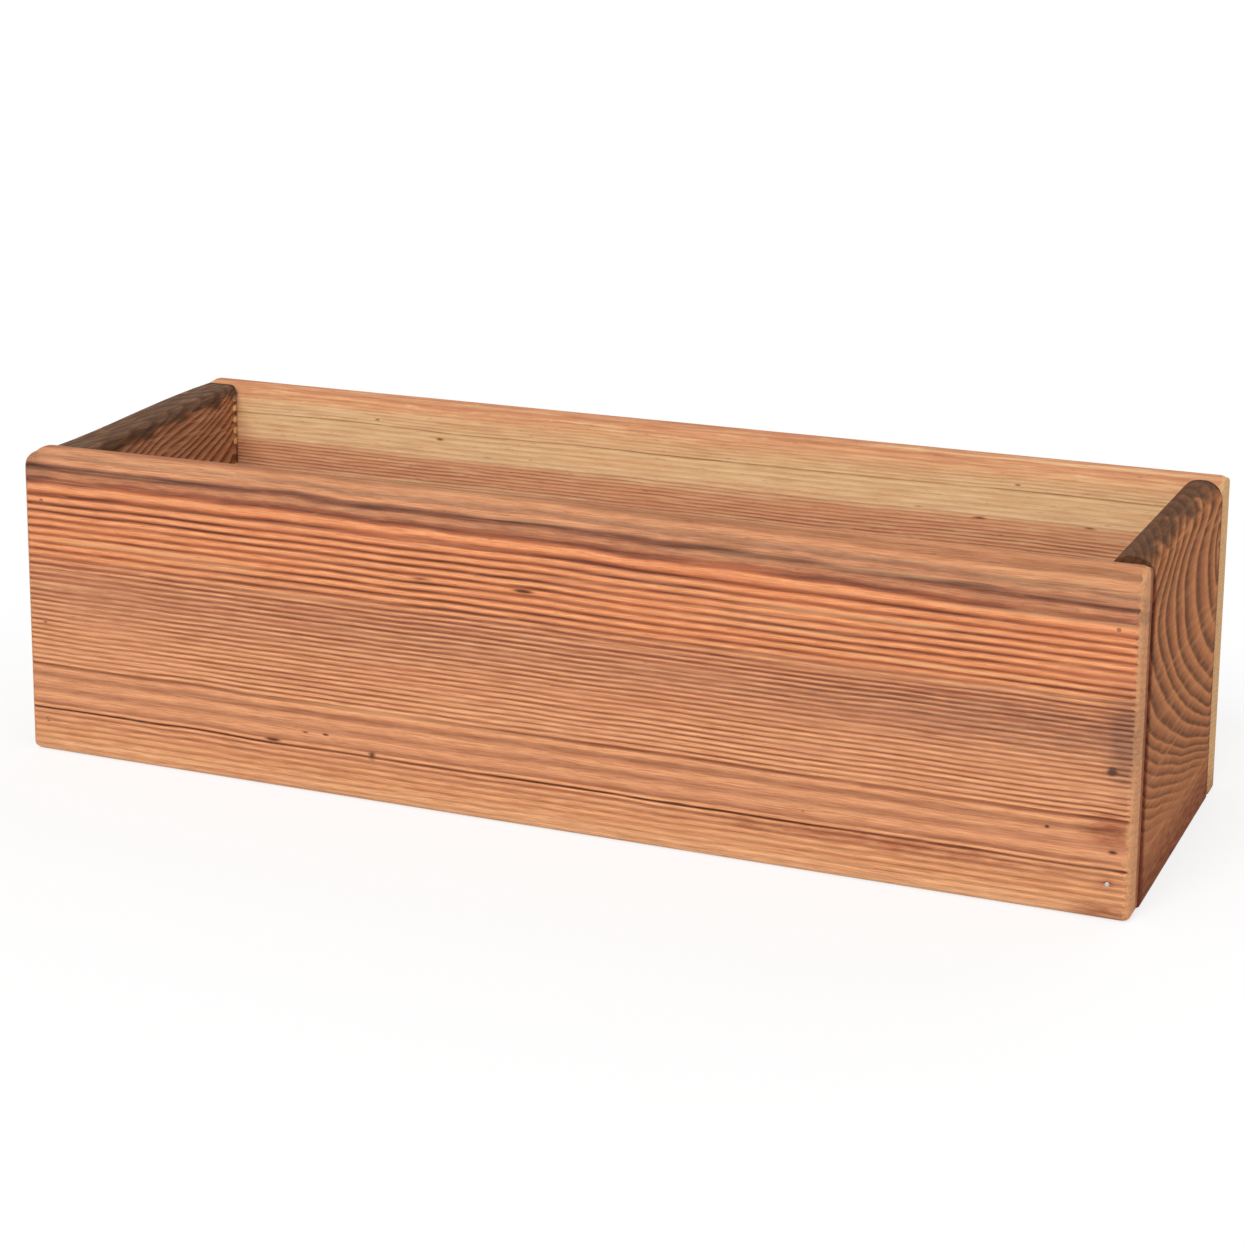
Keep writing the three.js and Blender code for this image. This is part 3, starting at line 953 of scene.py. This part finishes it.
def nail_outline(shank, head, length):
    """Radius and height up the nail, from its point to a slightly domed and dented head."""
    neck = length - HEAD_HEIGHT
    return [(0, 0), (shank * 0.5, POINT_LENGTH * 0.5), (shank, POINT_LENGTH),
            (shank, neck - 0.4), (shank * 1.15, neck), (head * 0.92, neck + 0.05),
            (head, neck + 0.3), (head, length - 0.35), (head * 0.9, length - 0.1),
            (head * 0.55, length), (head * 0.25, length - 0.06), (0, length - 0.10)]


def nail_steel(name, dull, rust_colour):
    """Wire nail steel with hammer marks, from bright and scuffed to dull and rusting."""
    nodes = Nodes(name)
    wear = nodes.noise((0.8, 0.8, 0.8), 3, 0.6, 3.0)
    rust = nodes.noise((2.4, 2.4, 2.4), 3, 0.6, 9.0)
    steel = nodes.mix(wear, srgb(160, 160, 158), srgb(214, 213, 208))
    colour = nodes.mix(nodes.remap(rust, dull, dull + 0.2), steel, rust_colour)
    nodes.link(colour, nodes.shader.inputs["Base Color"])
    nodes.link(nodes.remap(rust, dull, dull + 0.2, 0.85, 0.1), nodes.shader.inputs["Metallic"])
    nodes.link(nodes.remap(wear, 0.2, 0.8, 0.30, 0.55), nodes.shader.inputs["Roughness"])
    nodes.bump(wear, 0.4, 0.1)
    return nodes.material


def turned_points(outline, start, axis, out):
    """The points of an outline turned about an axis: its rings, then its two ends."""
    first, second = [other for other in (X, Y, Z) if other != axis]
    turns = np.arange(NAIL_SIDES) * 2 * math.pi / NAIL_SIDES
    rings = np.array(outline)[1:-1]
    points = np.tile(start, (len(rings) * NAIL_SIDES + 2, 1))
    radius = np.repeat(rings[:, 0], NAIL_SIDES)
    points[:-2, first] += radius * np.tile(np.cos(turns), len(rings))
    points[:-2, second] += radius * np.tile(np.sin(turns), len(rings))
    heights = [*np.repeat(rings[:, 1], NAIL_SIDES), outline[0][1], outline[-1][1]]
    points[:, axis] += out * np.array(heights)
    return points


def turned_faces(points, outward):
    """The faces between those points, turned over where the axis asks for it."""
    faces = []
    last = len(points) - 2 - NAIL_SIDES
    for turn in range(NAIL_SIDES):
        after = (turn + 1) % NAIL_SIDES
        faces.append((len(points) - 2, after, turn))
        faces.append((len(points) - 1, last + turn, last + after))
        for at in range(0, last, NAIL_SIDES):
            faces.append((at + turn, at + after, at + NAIL_SIDES + after, at + NAIL_SIDES + turn))
    return faces if outward else [face[::-1] for face in faces]


def add_nail(node, material):
    """Replaces a CAD nail by a turned one with a domed head, in the same place."""
    low, high = box_mm(node)
    size = high - low
    axis = int(np.argmax(size))
    head = nail_heads(node)[0]
    out = 1 if head[axis] > (low[axis] + high[axis]) / 2 else -1
    head_radius = size[Y if axis == X else X] / 2
    shank_radius = head_radius * SHANK_SHARE["corner" if "corner" in node else "floor"]
    start = head.copy()
    start[axis] -= out * size[axis]
    points = turned_points(nail_outline(shank_radius, head_radius, size[axis]), start, axis, out)
    faces = turned_faces(points, (out > 0) == (axis != Y))
    mesh = bpy.data.meshes.new(node + "_steel")
    mesh.from_pydata((points * MM).tolist(), [], faces)
    mesh.polygons.foreach_set("use_smooth", [True] * len(faces))
    piece = bpy.data.objects.new(node + "_steel", mesh)
    bpy.context.scene.collection.objects.link(piece)
    dress(piece, node, material)


rusted_steel = nail_steel("nail_rusted", 0.12, srgb(164, 106, 76))
SEEN_NAILS = {
    "corner_nail_front_right_1": nail_steel("nail_bright", 0.62, srgb(120, 78, 58)),
    "corner_nail_front_right_2": nail_steel("nail_black", 0.10, srgb(76, 54, 46)),
}
for node in sorted(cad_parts):
    if "nail" in node:
        add_nail(node, SEEN_NAILS.get(node, rusted_steel))


# ------------------------------------------------------------------ the set
def add_floor():
    """A pale floor that looks white where nothing shades it."""
    size = FLOOR_HALF_SIZE
    mesh = bpy.data.meshes.new("floor")
    corners = [(-size, -size, 0), (size, -size, 0), (size, size, 0), (-size, size, 0)]
    mesh.from_pydata(corners, [], [(0, 1, 2, 3)])
    floor = bpy.data.objects.new("floor", mesh)
    bpy.context.scene.collection.objects.link(floor)
    nodes = Nodes("floor_pale")
    path = nodes.add("ShaderNodeLightPath")
    seen = nodes.math("MAXIMUM", path.outputs["Is Camera Ray"],
                      nodes.math("MAXIMUM", path.outputs["Is Glossy Ray"],
                                 path.outputs["Is Transmission Ray"]))
    albedo = nodes.mix(seen, (FLOOR_ALBEDO, FLOOR_ALBEDO, FLOOR_ALBEDO, 1), (1, 1, 1, 1))
    nodes.link(albedo, nodes.shader.inputs["Base Color"])
    nodes.shader.inputs["Roughness"].default_value = 0.9
    nodes.shader.inputs["Specular IOR Level"].default_value = 0.0
    white = nodes.add("ShaderNodeEmission")
    white.inputs["Strength"].default_value = 1.0
    blend = nodes.add("ShaderNodeMixShader")
    nodes.link(nodes.math("MULTIPLY", seen, FLOOR_GLOW), blend.inputs["Fac"])
    nodes.link(nodes.shader.outputs[0], blend.inputs[1])
    nodes.link(white.outputs[0], blend.inputs[2])
    nodes.link(blend.outputs[0], nodes.output.inputs["Surface"])
    mesh.materials.append(nodes.material)


def add_world():
    """Even light all round, which the camera sees as white."""
    world = bpy.data.worlds.new("studio")
    world.use_nodes = True
    tree = world.node_tree
    tree.nodes.clear()
    path = tree.nodes.new("ShaderNodeLightPath")
    seen = path.outputs["Is Camera Ray"]
    for other in ("Is Glossy Ray", "Is Transmission Ray"):
        either = tree.nodes.new("ShaderNodeMath")
        either.operation = "MAXIMUM"
        tree.links.new(seen, either.inputs[0])
        tree.links.new(path.outputs[other], either.inputs[1])
        seen = either.outputs[0]
    blend = tree.nodes.new("ShaderNodeMixShader")
    tree.links.new(seen, blend.inputs["Fac"])
    for socket, strength in ((1, AMBIENT), (2, 1.0)):
        light = tree.nodes.new("ShaderNodeBackground")
        light.inputs["Color"].default_value = (1, 1, 1, 1)
        light.inputs["Strength"].default_value = strength
        tree.links.new(light.outputs[0], blend.inputs[socket])
    output = tree.nodes.new("ShaderNodeOutputWorld")
    tree.links.new(blend.outputs[0], output.inputs["Surface"])
    bpy.context.scene.world = world


def add_lamps():
    """Wide soft lamps, which keep the studio's light nearly even."""
    for name, (toward, strength, width) in LAMPS.items():
        lamp = bpy.data.lights.new(name, "SUN")
        lamp.energy = strength
        lamp.angle = math.radians(width)
        holder = bpy.data.objects.new(name, lamp)
        holder.rotation_euler = toward.to_track_quat("Z", "Y").to_euler()
        bpy.context.scene.collection.objects.link(holder)


def add_camera():
    """A camera that looks from the photograph's side, slightly rolled and shifted."""
    azimuth = math.radians(CAMERA_AZIMUTH)
    elevation = math.radians(CAMERA_ELEVATION)
    roll = math.radians(CAMERA_ROLL)
    back = Vector((math.sin(azimuth) * math.cos(elevation),
                   -math.cos(azimuth) * math.cos(elevation), math.sin(elevation)))
    level_right = (-back).cross(Vector((0, 0, 1))).normalized()
    level_up = level_right.cross(-back)
    right = level_right * math.cos(roll) + level_up * math.sin(roll)
    up = level_up * math.cos(roll) - level_right * math.sin(roll)
    matrix = Matrix((right, up, back)).transposed().to_4x4()
    matrix.translation = CAMERA_TARGET + back * CAMERA_DISTANCE
    data = bpy.data.cameras.new("camera")
    data.sensor_width = SENSOR_WIDTH
    data.lens = FOCAL_LENGTH / PHOTO_SIZE * SENSOR_WIDTH
    data.shift_x = (PHOTO_SIZE / 2 - OPTICAL_CENTRE[0]) / PHOTO_SIZE
    data.shift_y = (OPTICAL_CENTRE[1] - PHOTO_SIZE / 2) / PHOTO_SIZE
    camera = bpy.data.objects.new("camera", data)
    camera.matrix_world = matrix
    bpy.context.scene.collection.objects.link(camera)
    bpy.context.scene.camera = camera


add_floor()
add_world()
add_lamps()
add_camera()
bpy.context.scene.view_settings.view_transform = "Standard"
